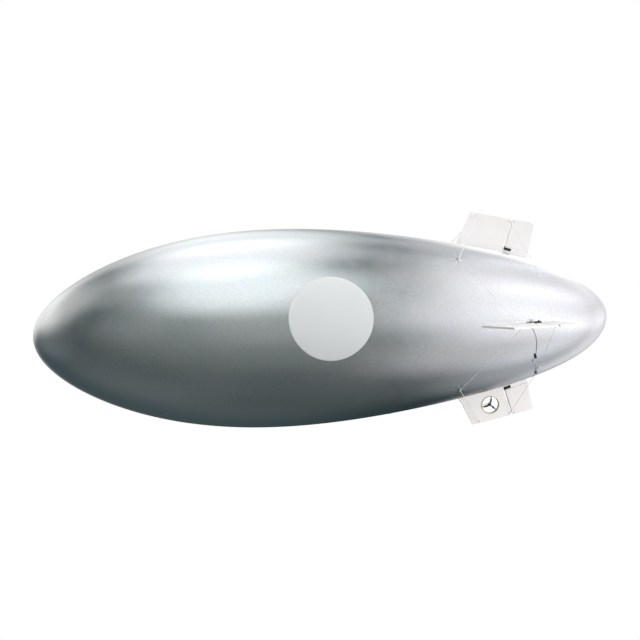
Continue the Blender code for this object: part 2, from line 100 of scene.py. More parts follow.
# Radio gear on the skin: (behind the nose, round from port, turned), then (length, width, height)
BOXES = {
    "battery": ((2.380, 245, 0), (0.070, 0.034, 0.018)),
    "receiver": ((2.500, 245, 0), (0.045, 0.026, 0.014)),
    "plug_port_1": ((2.5115, -28.6, 110), (0.027, 0.008, 0.005)),
    "plug_port_2": ((2.5605, -53.2, 108), (0.027, 0.009, 0.005)),
    "plug_starboard": ((2.5115, 208.6, -110), (0.027, 0.008, 0.005)),
}
# Leads, by points of (behind the nose, round from port, height over the skin if they don't just lie on it)
LAID = 0.0015
FROM_SIDE_SERVO = (
    (2.4694, -1.4, 0.0188), (2.4697, -1.7, 0.0125), (2.4725, -2.8, 0.0055), (2.481, -5.2), (2.498, -11.5),
    (2.507, -18.5), (2.5105, -23.5), (2.5138, -26.1, 0.0025),
)
LEADS = {
    "lead_top": (
        (2.4694, 88.6, 0.0188), (2.4692, 88.3, 0.0125), (2.470, 86.6, 0.0055), (2.479, 84), (2.5, 82),
        (2.53, 81.4), (2.56, 82.4), (2.587, 86), (2.6, 92), (2.601, 100), (2.596, 113), (2.592, 130),
        (2.594, 150), (2.601, 167), (2.605, 180), (2.602, 193), (2.597, 208), (2.591, 222), (2.583, 233),
        (2.572, 240.5), (2.556, 244), (2.539, 244.4, 0.003), (2.5237, 244.2, 0.0055),
    ),
    "lead_port_1": FROM_SIDE_SERVO,
    "lead_port_2": (
        (2.5075, -31.1, 0.0025), (2.5045, -32.8), (2.512, -36), (2.530, -40.2), (2.5405, -43.6),
        (2.5425, -46.4), (2.548, -48.6), (2.5562, -50.84, 0.0025),
    ),
    "lead_port_3": (
        (2.5648, -55.56, 0.0025), (2.5675, -59.5), (2.580, -67.5), (2.5965, -76.5), (2.608, -86),
        (2.607, -95), (2.591, -103.5), (2.564, -110.5), (2.539, -113.8, 0.003), (2.5237, -114.4, 0.0055),
    ),
    "lead_bottom": (
        (2.4953, -88.6, 0.0184), (2.497, -88.2, 0.0125), (2.503, -86.6, 0.0055), (2.517, -84.5),
        (2.545, -83.6), (2.574, -85), (2.594, -88), (2.5965, -92.5), (2.58, -99), (2.555, -105.5),
        (2.537, -110.3, 0.003), (2.5237, -112.6, 0.0055),
    ),
    "lead_starboard_1": tuple((x, 180 - angle, *height) for x, angle, *height in FROM_SIDE_SERVO),
    "lead_starboard_2": (
        (2.5075, 211.1, 0.0025), (2.5045, 213.5), (2.51, 222), (2.527, 231), (2.546, 237), (2.552, 240.3),
        (2.541, 242.4, 0.003), (2.5237, 242.8, 0.0055),
    ),
    "lead_battery": (
        (2.4155, 244.5, 0.006), (2.43, 244.6, 0.003), (2.446, 245.4), (2.462, 245.2, 0.003),
        (2.4766, 244.5, 0.0055),
    ),
}
# From the motor's back along an arm, over the ring and up the fin's starboard face, in the rotor's frame, and
# from there over the skin
ROTOR_LEAD_START = (
    (0, 0, 0.0196), (-0.0004, -0.0001, 0.0230), (-0.0058, -0.0012, 0.0262), (-0.0155, -0.0033, 0.0235),
    (-0.0275, -0.0058, 0.0175), (-0.0390, -0.0083, 0.0122), (-0.0465, -0.0104, 0.0090),
    (-0.0530, -0.0140, 0.0064), (-0.0572, -0.0200, 0.0057), (-0.0588, -0.0290, 0.0057),
    (-0.0580, -0.0420, 0.0057), (-0.0562, -0.0550, 0.0058), (-0.0545, -0.0660, 0.0062),
)
ROTOR_LEAD_REST = (
    (2.3265, 268.0, 0.0035), (2.3345, 265.6), (2.356, 262.2), (2.388, 259.8), (2.420, 257.6), (2.446, 253.0),
    (2.4625, 248.2, 0.003), (2.4766, 246.3, 0.0055),
)

# Camera, at the photograph's viewpoint
CAMERA_PLACE = (-0.0375, 2.6544, 0.1914)
CAMERA_TURN = (83.715, 2.324, 179.2)
CAMERA_LENS = 28.17
CAMERA_SHIFT_Y = 0.0404

# Bright patches of the room that the film mirrors: from the nose towards port, up, where the patch starts to
# fade and where it ends, brightness, tint
ROOM = {
    "key": (73, 50, 8, 36.5, 0.92, (0.94, 1.01, 1.04)),
    "overhead": (-18, 74, 1, 35, 1.10, (0.97, 1.0, 1.02)),
    "starboard_top": (-73, 51, 8, 28, 0.87, (0.97, 1.0, 1.02)),
    "starboard_high": (-84, 28, 0, 26, 0.28, (0.94, 1.01, 1.03)),
    "starboard_wall": (-119, 10, 14, 30, 0.82, (1.01, 1.0, 1.01)),
    "starboard_lamp": (-62, 10, 4, 38, 0.56, (1.02, 1.0, 0.95)),
    "starboard_aft_wall": (-140, -3, 34, 42, 0.45, (1.05, 0.99, 1.01)),
    "starboard_aft_high": (-130, 38, 6, 22, 0.52, (0.99, 1.0, 1.04)),
    "aft_wall": (177, 23, 36, 46, 0.32, (1.0, 1.0, 1.01)),
    "aft_high": (-176, 42, 6, 35, 0.55, (1.02, 0.99, 1.05)),
    "aft_low": (-168, -28, 18, 42, 0.40, (0.97, 1.0, 1.07)),
    "port_aft_wall": (148, 11, 2, 43, 0.73, (1.01, 0.99, 1.06)),
    "port_aft_high": (152, 46, 2, 20, 0.20, (1.0, 1.0, 1.03)),
    "port_aft_low": (151, -28, 0, 36, 0.50, (1.01, 0.99, 1.03)),
    "port_aft_glow": (136, 4, 0, 18, 0.17, (1.0, 1.0, 1.02)),
    "nose_window": (-13, 22, 0, 25, 0.50, (1.0, 1.01, 0.98)),
    "nose_glint": (-16, 16, 0, 12, 0.30, (1.0, 1.01, 0.99)),
    "nose_window_low": (-36, 13, 0, 20, 0.62, (0.99, 1.0, 0.98)),
    "bow_top": (-38, 32, 0, 22, 0.14, (0.97, 1.01, 1.02)),
    "zenith_aft": (-130, 62, 0, 28, 0.20, (0.95, 1.01, 1.03)),
    "nose_low": (-4, 0, 0, 26, 0.11, (0.98, 1.0, 1.02)),
    "bow_high": (9, 42, 0, 22, 0.15, (0.98, 1.0, 1.02)),
    "bow_low": (40, 12, 2, 22, 0.06, (0.97, 1.0, 1.02)),
    "port_wall": (87, 27, 12, 80, 0.20, (0.93, 1.02, 0.98)),
    "port_low": (86, 8, 4, 26, 0.10, (0.97, 1.0, 1.02)),
    "port_aft_floor": (124, -34, 2, 28, 0.06, (1.0, 1.01, 0.98)),
    "floor": (102, -33, 60, 100, 0.042, (1.0, 0.97, 0.90)),
    "floor_aft": (154, -68, 0, 24, 0.035, (0.96, 1.01, 1.0)),
    "floor_port": (88, -50, 5, 36, 0.042, (0.95, 1.02, 1.03)),
    "floor_bow": (28, -38, 8, 40, 0.030, (0.95, 1.02, 1.03)),
    "floor_nose": (-35, -40, 15, 65, 0.052, (0.85, 1.03, 1.1)),
}
AMBIENT = (0.012, 0.028, 0.032)
# Lamps for the matt pieces, which the film doesn't mirror: place, aimed at, width, power, spread
LAMPS = {
    "port_aft": ((-2.6, 3.4, -0.4), (0, 0, 0), 1.6, 80, 180),
    "disc_high": ((0.9, 2.4, 3.2), (-0.1, 0.4, 0.15), 1.0, 2.5, 30),
    "above_starboard": ((-1.1, -0.9, 3.0), (-1.1, 0.1, 0), 1.4, 30, 180),
    "tail_low": ((-1.5, 2.4, -1.1), (-1.1, 0, -0.45), 0.8, 1.15, 60),
    "starboard": ((-1.6, -3.6, 0.6), (0, 0, 0), 2.0, 25, 180),
}
PAPER = (1, 1, 1, 1)
FLOOR_Z = -1.45
FLOOR_HALF = 40.0

FILM_COLOUR = (0.80, 0.80, 0.805)
# Plain looks with grain: colour, roughness, metallic, grains a metre, how far the tone varies, the grain's
# depth, and blotches a metre where they aren't the usual ones
GRAINED = {
    "foam_paper": ((0.865, 0.815, 0.805), 0.5, 0, 900, 0.018, 1.2e-5, 14),
    "vinyl": ((0.56, 0.566, 0.56), 0.42, 0, 1400, 0.012, 0.6e-5, 6),
    "film_pad": (FILM_COLOUR, 0.24, 1, 600, 0.03, 2e-5),
    "white_plastic": ((0.84, 0.84, 0.83), 0.4, 0, 1800, 0.02, 8e-6),
    "black_plastic": ((0.022, 0.022, 0.024), 0.45, 0, 2200, 0.15, 1.2e-5),
    "servo_case": ((0.009, 0.010, 0.010), 0.42, 0, 2600, 0.15, 1e-5),
    "propeller": ((0.018, 0.018, 0.02), 0.3, 0, 1600, 0.15, 1e-5),
    "wire_brown": ((0.40, 0.36, 0.41), 0.4, 0, 2500, 0.1, 5e-6),
    "wire_red": ((0.48, 0.41, 0.45), 0.4, 0, 2500, 0.1, 5e-6),
    "wire_orange": ((0.55, 0.50, 0.51), 0.4, 0, 2500, 0.1, 5e-6),
    "hook": ((0.035, 0.035, 0.038), 0.4, 0, 2500, 0.1, 3e-6),
    "glue": ((0.78, 0.77, 0.72), 0.25, 0, 700, 0.04, 3e-5),
    "white_tape": ((0.86, 0.86, 0.865), 0.35, 0, 700, 0.03, 2e-5),
}


def node(tree, kind, inputs=None, out=0, **settings):
    """Adds a shader node, feeds its inputs with values or with other nodes, and gives the output named."""
    made = tree.nodes.new("ShaderNode" + kind)
    for key, value in settings.items():
        setattr(made, key, value)
    for key, value in (inputs or {}).items():
        if isinstance(value, bpy.types.NodeSocket):
            tree.links.new(value, made.inputs[key])
        else:
            made.inputs[key].default_value = value
    return made.outputs[out] if made.outputs else None


def make_world():
    """White paper for the camera, and the room's patches for all that mirrors it or is lit by it."""
    world = bpy.data.worlds.new("studio")
    bpy.context.scene.world = world
    world.use_nodes = True
    tree = world.node_tree
    tree.nodes.clear()
    towards = node(tree, "TexCoord", out="Generated")
    total = node(tree, "CombineXYZ", dict(zip("XYZ", AMBIENT)))
    for azimuth, elevation, inner, outer, bright, tint in ROOM.values():
        azimuth, elevation = radians(azimuth), radians(elevation)
        middle = (cos(elevation) * cos(azimuth), cos(elevation) * sin(azimuth), sin(elevation))
        facing = node(tree, "VectorMath", {0: towards, 1: middle}, "Value", operation="DOT_PRODUCT")
        edges = {"From Min": cos(radians(outer)), "From Max": cos(radians(inner)), "To Max": bright}
        glow = node(tree, "MapRange", {"Value": facing, **edges}, interpolation_type="SMOOTHSTEP")
        scaled = node(tree, "VectorMath", {0: tint, "Scale": glow}, operation="SCALE")
        total = node(tree, "VectorMath", {0: total, 1: scaled}, operation="ADD")
    lights = node(tree, "Background", {"Color": total, "Strength": 1.0})
    paper = node(tree, "Background", {"Color": PAPER, "Strength": 1.0})
    seen = node(tree, "LightPath", out="Is Camera Ray")
    node(tree, "OutputWorld", {"Surface": node(tree, "MixShader", {0: seen, 1: lights, 2: paper})})


def make_lamps():
    for name, (place, target, width, power, spread) in LAMPS.items():
        lamp = bpy.data.objects.new(name, bpy.data.lights.new(name, "AREA"))
        bpy.context.scene.collection.objects.link(lamp)
        lamp.data.energy = power
        lamp.data.size = width
        lamp.data.spread = radians(spread)
        lamp.location = place
        lamp.rotation_euler = (Vector(place) - Vector(target)).to_track_quat("Z", "Y").to_euler()
        lamp.visible_glossy = False
        lamp.visible_camera = False


def make_floor():
    shape = Shape()
    corners = [(-1, -1), (1, -1), (1, 1), (-1, 1)]
    shape.add([(x * FLOOR_HALF, y * FLOOR_HALF, FLOOR_Z) for x, y in corners], [(0, 1, 2, 3)])
    floor = shape.piece("floor", None, ["floor_paper"])
    floor.visible_glossy = False
    floor.visible_diffuse = False
    floor.visible_transmission = False


def make_camera():
    camera = bpy.data.objects.new("camera", bpy.data.cameras.new("camera"))
    bpy.context.scene.collection.objects.link(camera)
    camera.location = CAMERA_PLACE
    camera.rotation_euler = [radians(angle) for angle in CAMERA_TURN]
    camera.data.lens = CAMERA_LENS
    camera.data.shift_y = CAMERA_SHIFT_Y
    bpy.context.scene.camera = camera
    bpy.context.scene.view_settings.view_transform = "Standard"


class Look:
    """A material; textures may feed its colour, roughness and relief."""

    def __init__(self, name, colour, roughness, metallic=0.0, **inputs):
        self.material = bpy.data.materials.new(name)
        self.material.use_nodes = True
        self.tree = self.material.node_tree
        self.shader = self.tree.nodes["Principled BSDF"]
        self.colour = colour
        inputs.update(Base_Color=(*colour, 1), Roughness=roughness, Metallic=metallic)
        for key, value in inputs.items():
            self.shader.inputs[key.replace("_", " ")].default_value = value

    def coordinates(self, kind="Object", stretch=(1, 1, 1)):
        return node(self.tree, "Mapping", {"Vector": node(self.tree, "TexCoord", out=kind), "Scale": stretch})

    def noise(self, scale, detail=3.0, kind="Object", stretch=(1, 1, 1), rough=0.5):
        vector = self.coordinates(kind, stretch)
        inputs = {"Vector": vector, "Scale": scale, "Detail": detail, "Roughness": rough}
        return node(self.tree, "TexNoise", inputs, "Fac")

    def math(self, operation, a, b):
        return node(self.tree, "Math", {0: a, 1: b}, operation=operation)

    def spread(self, value, low, high, low_in=0.3, high_in=0.7):
        inputs = {"Value": value, "From Min": low_in, "From Max": high_in, "To Min": low, "To Max": high}
        return node(self.tree, "MapRange", inputs)

    def feed(self, value, name):
        self.tree.links.new(value, self.shader.inputs[name])

    def tint(self, amount):
        """Base colour times an amount that varies over the surface."""
        scaled = node(self.tree, "VectorMath", {0: self.colour, "Scale": amount}, operation="SCALE")
        self.feed(scaled, "Base Color")

    def relief(self, *layers):
        """Bumps from (height, depth in metres) layers, one on the other."""
        below = None
        for height, depth in layers:
            inputs = {"Height": height, "Distance": depth, "Strength": 1.0}
            if below:
                inputs["Normal"] = below
            below = node(self.tree, "Bump", inputs)
        self.feed(below, "Normal")


def grained(name, colour, roughness, metallic, grain, vary, depth, blotch=25, **inputs):
    """A surface with fine grain and broader blotches under it."""
    look = Look(name, colour, roughness, metallic, **inputs)
    fine, broad = look.noise(grain, 4.0), look.noise(blotch, 2.0)
    look.tint(look.spread(look.math("ADD", fine, broad), 1 - vary, 1 + vary, 0.75, 1.25))
    look.feed(look.spread(broad, roughness - 0.06, roughness + 0.06), "Roughness")
    look.relief((fine, depth))
    return look.material


def marked(name, colour, roughness, marks, shades, depth, **inputs):
    """A surface with one kind of marks, (scale, detail, coordinates, stretch), between two shades."""
    look = Look(name, colour, roughness, **inputs)
    marks = look.noise(*marks)
    look.tint(look.spread(marks, *shades))
    look.relief((marks, depth))
    return look.material


def cord_look(name, colour):
    """Twisted white cord with loose fibres."""
    fibres = (3000, 3.0, "UV", (1, 0.25, 1))
    return marked(name, colour, 0.7, fibres, (0.9, 1.04), 3e-5, Sheen_Weight=0.3, Sheen_Roughness=0.4)


def brushed_look(name, colour, stretch):
    """Turned metal, with its tool marks running round."""
    roughness = 0.3
    look = Look(name, colour, roughness, 1.0)
    marks = look.noise(1500, 4.0, "UV", stretch)
    look.tint(look.spread(marks, 0.85, 1.12))
    look.feed(look.spread(marks, roughness - 0.08, roughness + 0.1), "Roughness")
    look.relief((marks, 1e-5))
    return look.material


def film_look():
    """Metallised film: soft mirror, mottled over a few centimetres, with slack waves and a fine emboss."""
    roughness = 0.25
    look = Look("film", FILM_COLOUR, roughness, 1.0)
    mottle = look.noise(100, 4.0, rough=0.65)
    bright = look.spread(mottle, 0.95, 1.05)
    casts = [look.spread(look.noise(scale, rough=0.7), 0.975, 1.025) for scale in (9, 13)]
    red, blue = (look.math("MULTIPLY", cast, bright) for cast in casts)
    mixed = node(look.tree, "CombineXYZ", {"X": red, "Y": bright, "Z": blue})
    look.feed(node(look.tree, "VectorMath", {0: mixed, 1: FILM_COLOUR}, operation="MULTIPLY"), "Base Color")
    look.feed(look.spread(look.noise(9), roughness - 0.03, roughness + 0.03), "Roughness")
    emboss = look.noise(420, 2.0)
    waves = look.noise(5, 2.0, stretch=(0.6, 1, 1))
    look.relief((waves, 0.0016), (mottle, 5e-5), (emboss, 6e-6))
    return look.material


def foam_core_look():
    """Cut edge of the foam board, with its bubbles."""
    look = Look("foam_core", (0.86, 0.85, 0.84), 0.75)
    bubbles = node(look.tree, "TexVoronoi", {"Vector": look.coordinates(), "Scale": 900}, "Distance")
    look.tint(look.spread(bubbles, 0.9, 1.04, 0.0, 0.6))
    look.relief((bubbles, 0.00018))
    return look.material


def plywood_look(name, colour):
    """Thin plywood under varnish: long grain round the ring, with darker pores."""
    look = Look(name, colour, 0.4, Coat_Weight=0.35, Coat_Roughness=0.18)
    sizes = (500, 5.0), (90, 3.0)
    grain, streaks = (look.noise(scale, detail, "UV", (0.12, 1, 1)) for scale, detail in sizes)
    look.tint(look.spread(look.math("ADD", grain, streaks), 0.6, 1.35, 0.75, 1.3))
    look.relief((grain, 8e-5))
    return look.material


def weave_look(name, colour):
    """Woven tape: threads over and under each other."""
    look = Look(name, colour, 0.85, Sheen_Weight=0.4, Sheen_Roughness=0.4)
    inputs = {"Vector": look.coordinates(), "Scale": 350, "Distortion": 0.4}
    threads = [node(look.tree, "TexWave", inputs, "Fac", bands_direction=axis) for axis in "XY"]
    weave = look.math("MULTIPLY", *threads)
    look.tint(look.spread(weave, 0.6, 1.5, 0.0, 1.0))
    look.relief((weave, 0.00015))
    return look.material


def floor_look():
    made = bpy.data.materials.new("floor_paper")
    made.use_nodes = True
    made.node_tree.nodes.clear()
    glow = node(made.node_tree, "Emission", {"Color": PAPER, "Strength": 1.0})
    node(made.node_tree, "OutputMaterial", {"Surface": glow})
    return made


class Shape:
    """Points and faces of one piece, gathered for its mesh. `look` is the next faces' material."""

    def __init__(self):
        self.points, self.faces, self.looks, self.uvs = [], [], [], []
        self.look = 0

    def add(self, points, faces, uvs=None):
        start = len(self.points)
        self.points.extend(tuple(point) for point in points)
        self.faces.extend([start + i for i in face] for face in faces)
        self.looks.extend([self.look] * len(faces))
        self.uvs.extend(uvs or [[(0.0, 0.0)] * len(face) for face in faces])

    def rows(self, rows, caps=True, around=0.0, along=None):
        """Faces between closed rows of points. A row of one point is a pole, and open ends get caps."""
        starts = np.cumsum([0] + [len(row) for row in rows])
        faces, uvs = [], []
        for i in range(len(rows) - 1):
            count = max(len(rows[i]), len(rows[i + 1]))
            for j in range(count):
                face, places = [], []
                for r, c in ((i, j), (i, j + 1), (i + 1, j + 1), (i + 1, j)):
                    index = int(starts[r]) + c % len(rows[r])
                    if index not in face:
                        face.append(index)
                        places.append((c / count * around, along[r] if along else 0.0))
                faces.append(face)
                uvs.append(places)
        for r, first in ((0, True), (len(rows) - 1, False)):
            if caps and len(rows[r]) > 1:
                face = [int(starts[r]) + c for c in range(len(rows[r]))]
                faces.append(face[::-1] if first else face)
                uvs.append([(0.0, 0.0)] * len(face))
        self.add([point for row in rows for point in row], faces, uvs)

    def lathe(self, profile, matrix, steps, flutes=0, groove=0.0, between=(-1, 1)):
        """A profile of (radius, height) turned about the matrix's third axis.

        Between two heights it is fluted, with grooves of a share of the radius.
        """
        rows, along, gone = [], [], 0.0
        for k, (radius, height) in enumerate(profile):
            if k:
                gone += hypot(radius - profile[k - 1][0], height - profile[k - 1][1])
            along.append(gone)
            if radius == 0:
                rows.append([matrix @ Vector((0, 0, height))])
                continue
            fluted = between[0] < height < between[1]
            ring = []
            for j in range(steps):
                a = 2 * pi * j / steps
                r = radius * (1 - groove * max(0, cos(flutes * a)) * fluted)
                ring.append(matrix @ Vector((r * cos(a), r * sin(a), height)))
            rows.append(ring)
        around = 2 * pi * max(radius for radius, _ in profile)
        self.rows(rows, caps=False, around=around, along=along)

    def sweep(self, points, radius, sides=8, ups=None, shift=0.0, twist=None):
        """A round section along the points, shifted sideways, and lobed by a twist (lobes, depth, pitch)."""
        rows, along, gone, side = [], [], 0.0, None
        count = len(points)
        radii = radius if isinstance(radius, list) else [radius] * count
        for i, point in enumerate(points):
            ahead = (points[min(i + 1, count - 1)] - points[max(i - 1, 0)]).normalized()
            if i:
                gone += (point - points[i - 1]).length
            if ups:
                side = ahead.cross(ups[i]).normalized()
            elif side is None:
                side = ahead.orthogonal().normalized()
            else:
                side = (side - side.dot(ahead) * ahead).normalized()
            up = side.cross(ahead)
            row = []
            for j in range(sides):
                a = 2 * pi * j / sides
                r = radii[i]
                if twist:
                    lobes, depth, pitch = twist
                    r *= 1 + depth * cos(lobes * (a - 2 * pi * gone / pitch))
                row.append(point + (shift + r * cos(a)) * side + r * sin(a) * up)
            rows.append(row)
            along.append(gone)
        self.rows(rows, around=2 * pi * max(radii), along=along)

    def block(self, low, high, matrix, edge, steps=2):
        """A box with rounded edges between two opposite corners."""
        work = bmesh.new()
        size = [abs(h - l) for l, h in zip(low, high)]
        middle = [(h + l) / 2 for l, h in zip(low, high)]
        bmesh.ops.create_cube(work, size=1, matrix=Matrix.Translation(middle) @ Matrix.Diagonal((*size, 1)))
        rounded(work, work.edges[:], edge, steps)
        work.verts.index_update()
        self.add([matrix @ v.co for v in work.verts], [[v.index for v in f.verts] for f in work.faces])
        work.free()

    def piece(self, name, body, looks, replaces=None, smooth=35):
        mesh = bpy.data.meshes.new(name)
        mesh.from_pydata(self.points, [], self.faces)
        layer = mesh.uv_layers.new(name="UVMap")
        layer.data.foreach_set("uv", [value for face in self.uvs for place in face for value in place])
        mesh.polygons.foreach_set("material_index", self.looks)
        work = bmesh.new()
        work.from_mesh(mesh)
        bmesh.ops.remove_doubles(work, verts=work.verts, dist=1e-7)
        bmesh.ops.recalc_face_normals(work, faces=work.faces)
        work.to_mesh(mesh)
        work.free()
        return placed(name, mesh, body, looks, replaces, smooth)


def rounded(work, edges, width, steps):
    bmesh.ops.bevel(
        work, geom=edges, offset=width, segments=steps, affect="EDGES", profile=0.5, clamp_overlap=True
    )


def placed(name, mesh, body, looks, replaces=None, smooth=35):
    mesh.shade_smooth()
    mesh.set_sharp_from_angle(angle=radians(smooth))
    obj = bpy.data.objects.new(name, mesh)
    bpy.context.scene.collection.objects.link(obj)
    for look in looks:
        mesh.materials.append(LOOKS[look])
    if body:
        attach(obj, body)
    if replaces:
        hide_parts(replaces)
    return obj


def refined(cad_node, name, body, looks, edge, square=None):
    """A CAD node's shape with rounded edges. Faces not square to the given direction take the second look."""
    work = bmesh.new()
    work.from_mesh(NODES[cad_node].data)
    bmesh.ops.remove_doubles(work, verts=work.verts, dist=2e-6)
    bmesh.ops.dissolve_limit(work, angle_limit=radians(1.5), verts=work.verts, edges=work.edges)
    rounded(work, [e for e in work.edges if e.is_manifold and e.calc_face_angle(0) > radians(40)], edge, 3)
    marks, flat_area = work.faces.layers.int.new("flat"), 2e-5
    for face in work.faces:
        face[marks] = face.calc_area() > flat_area
    bmesh.ops.triangulate(work, faces=[f for f in work.faces if len(f.verts) > 4])
    flat = [bool(f[marks]) for f in work.faces]
    mesh = bpy.data.meshes.new(name)
    work.to_mesh(mesh)
    work.free()
    obj = placed(name, mesh, body, looks, cad_node)
    for face, is_flat in zip(mesh.polygons, flat):
        face.material_index = int(square is not None and abs(face.normal.dot(square)) < 0.5)
        face.use_smooth = not is_flat
    return obj


def hull_radius(behind_nose):
    t = behind_nose / LENGTH
    swell = sum(comb(3, i) * t**i * (1 - t) ** (3 - i) * s for i, s in enumerate(SWELL))
    return LENGTH * sqrt(max(t * (1 - t), 0)) * swell


def frame_of(x, y, z, place):
    matrix = Matrix((x, y, z)).transposed().to_4x4()
    matrix.translation = place
    return matrix


def moved(matrix, place=(0, 0, 0), angle=0, axis="Z"):
    """The frame, moved along its own axes and turned about one of them."""
    return matrix @ Matrix.Translation(place) @ Matrix.Rotation(radians(angle), 4, axis)


def spoke(angle):
    """The direction square to the hull's axis, at an angle round it."""
    return Vector((0, cos(radians(angle)), sin(radians(angle))))


def skin_frame(behind_nose, angle, height=0.0):
    """Axes on the skin: aft along it, round it and out of it."""
    step = 3e-4
    slope = atan2(hull_radius(behind_nose + step) - hull_radius(behind_nose - step), 2 * step)
    outward = spoke(angle)
    aft = Vector((-cos(slope), 0, 0)) + sin(slope) * outward
    normal = Vector((sin(slope), 0, 0)) + cos(slope) * outward
    place = Vector((BUOYANCY_X - behind_nose, 0, 0)) + hull_radius(behind_nose) * outward + height * normal
    return frame_of(aft, normal.cross(aft), normal, place)


def fin_frame(angle):
    """Axes of a fin: aft, out along its hinge line, and square to it."""
    outward = spoke(angle)
    rake = radians(HINGE_RAKE)
    aft = Vector((-cos(rake), 0, 0)) - sin(rake) * outward
    out = Vector((-sin(rake), 0, 0)) + cos(rake) * outward
    place = Vector((BUOYANCY_X - HINGE_FOOT_X, 0, 0)) + hull_radius(HINGE_FOOT_X) * outward
    return frame_of(aft, out, aft.cross(out), place)


def hinge_frame(angle):
    """On a fin's hinge foot, with the third axis out along the hinge line."""
    fin = fin_frame(angle)
    aft, out, square = (fin.col[i].to_3d() for i in range(3))
    return frame_of(square, aft, out, fin.translation)


def rotor_frame(angle=0):
    """At the rotor's centre: the third axis to starboard, turned about it."""
    return moved(fin_frame(FIN_ANGLES["bottom"]), (*ROTOR_CENTRE, 0), angle)


def mirrored(rise):
    """The four angles round the hull that lie so far above or below its sides."""
    return {
        "port_top": rise, "starboard_top": 180 - rise,
        "starboard_bottom": 180 + rise, "port_bottom": 360 - rise,
    }


def anchors():
    """Each stay's row and name, and its anchor's place behind the nose and round the hull."""
    for which, (behind_nose, rise, _) in STAYS.items():
        for name, angle in mirrored(rise).items():
            yield which, name, behind_nose, angle


def curve_through(knots, steps):
    """Points of one smooth curve through the knots, with so many steps from each knot to the next."""
    padded = [2 * knots[0] - knots[1], *knots, 2 * knots[-1] - knots[-2]]
    points = [knots[0]]
    for a, b, c, d in zip(padded, padded[1:], padded[2:], padded[3:]):
        for i in range(1, steps + 1):
            s = i / steps
            bend = (2 * a - 5 * b + 4 * c - d) * s**2 + (3 * b - a - 3 * c + d) * s**3
            points.append(b + ((c - a) * s + bend) / 2)
    return points


def row_places():
    """Stations along the hull, close together at the tail where stays and fins pull on the film."""
    fine_from, fine_to, fine_step, coarse = 2.12, 2.64, 0.004, 150
    places = [LENGTH * (1 - cos(pi * i / coarse)) / 2 for i in range(coarse + 1)]
    fine = np.arange(fine_from, fine_to, fine_step)
    return sorted([x for x in places if not fine_from < x < fine_to] + list(fine))


def column_angles():
    """Angles round the hull, close together at the fins and the anchors."""
    half, fine_step, step = 5.5, 0.55, 2.0
    rise = sum(rise for _, rise, _ in STAYS.values()) / len(STAYS)
    lines = sorted([*FIN_ANGLES.values(), *mirrored(rise).values()])
    angles = []
    for line, after in zip(lines, [*lines[1:], 360]):
        angles.extend(np.arange(line - half, line + half, fine_step))
        angles.extend(np.arange(line + half, after - half, step))
    return angles


def bell(far, wide):
    """1 in the middle, and next to nothing at twice the width."""
    return np.exp(-((far / wide) ** 2))


def film_height(x, angles):
    """How far the film stands over the plain hull, at arrays of places on it."""
    radius = np.array([hull_radius(value) for value in x[:, 0]])[:, None]
    high = np.zeros_like(x * angles)

    def around(middle):
        return radius * np.radians((angles - middle + 180) % 360 - 180)

    pad, raised, fade, fade_wide, pleats, pleat = 0.022, 0.00022, 0.03, 0.016, 7, 0.00026
    for _, _, behind_nose, middle in anchors():
        along, across = x - behind_nose, around(middle)
        far = np.hypot(along, across)
        round_pad = np.cos(pleats * np.arctan2(across, along) + middle)
        high += raised * bell(far, pad)
        high += pleat * bell(far - fade, fade_wide) * round_pad
    (root_front, root_rear), soft = FIN_ROOT_X, 0.006
    groove, beside, groove_wide, ripple, ripples = 0.0005, 0.0145, 0.005, 0.45, 95
    for middle in FIN_ANGLES.values():
        inside = 1 / (1 + np.exp(-(x - root_front) / soft)) / (1 + np.exp((x - root_rear) / soft))
        uneven = 1 + ripple * np.sin(x * ripples + middle)
        high -= groove * inside * uneven * bell(np.abs(around(middle)) - beside, groove_wide)
    full_from = 0.03
    for pole, depth, reach in ((0.0, 0.0003, 0.05), (LENGTH, 0.0008, 0.07)):
        far = np.abs(x - pole) + radius * 0.6
        gathers = np.cos(np.radians(angles) * 23) + 0.6 * np.cos(np.radians(angles) * 14 + 1)
        high += depth * gathers * bell(far - reach, reach) * np.minimum(radius / full_from, 1)
    return high


def make_envelope():
    places, angles = row_places(), column_angles()
    high = film_height(np.array(places)[:, None], np.array(angles)[None, :])
    shape = Shape()
    rows = []
    for behind_nose, heights in zip(places, high):
        x, radii = BUOYANCY_X - behind_nose, hull_radius(behind_nose) + heights
        at_pole = behind_nose in (places[0], places[-1])
        rows.append([(x, 0, 0)] if at_pole else [
            (x, r * cos(radians(angle)), r * sin(radians(angle))) for angle, r in zip(angles, radii)
        ])
    shape.rows(rows)
    shape.piece("film_envelope", "hull", ["film"], "envelope", smooth=80)


def drop_on_skin(point, towards, height):
    for _ in range(8):
        over = hypot(point.y, point.z) - hull_radius(BUOYANCY_X - point.x) - height
        point = point + over * towards
    return point


def make_panel(side):
    """The blank round panel, laid on the skin, with a rolled edge."""
    place = skin_frame(PANEL_X, PANEL_RISE if side == "port" else 180 - PANEL_RISE)
    inwards = -place.col[2].to_3d()
    low, high = PANEL_GAP - 0.0001, PANEL_GAP + PANEL_THICK
    rings, steps = 26, 144
    flat = [PANEL_R * i / rings for i in range(rings)]
    profile = [(radius, high) for radius in flat]
    profile += [(PANEL_R - 0.0008, high), (PANEL_R - 0.0002, high - 0.0004), (PANEL_R, high - 0.0009)]
    profile += [(PANEL_R, low)] + [(radius, low) for radius in flat[::-1]]
    rows = []
    for radius, height in profile:
        turns = [2 * pi * j / steps for j in range(steps if radius else 1)]
        points = [place @ Vector((radius * cos(a), radius * sin(a), 0)) for a in turns]
        rows.append([drop_on_skin(point, inwards, height) for point in points])
    shape = Shape()
    shape.rows(rows)
    shape.piece(f"advert_panel_{side}", "hull", ["vinyl"], f"panel_{side}", smooth=50)


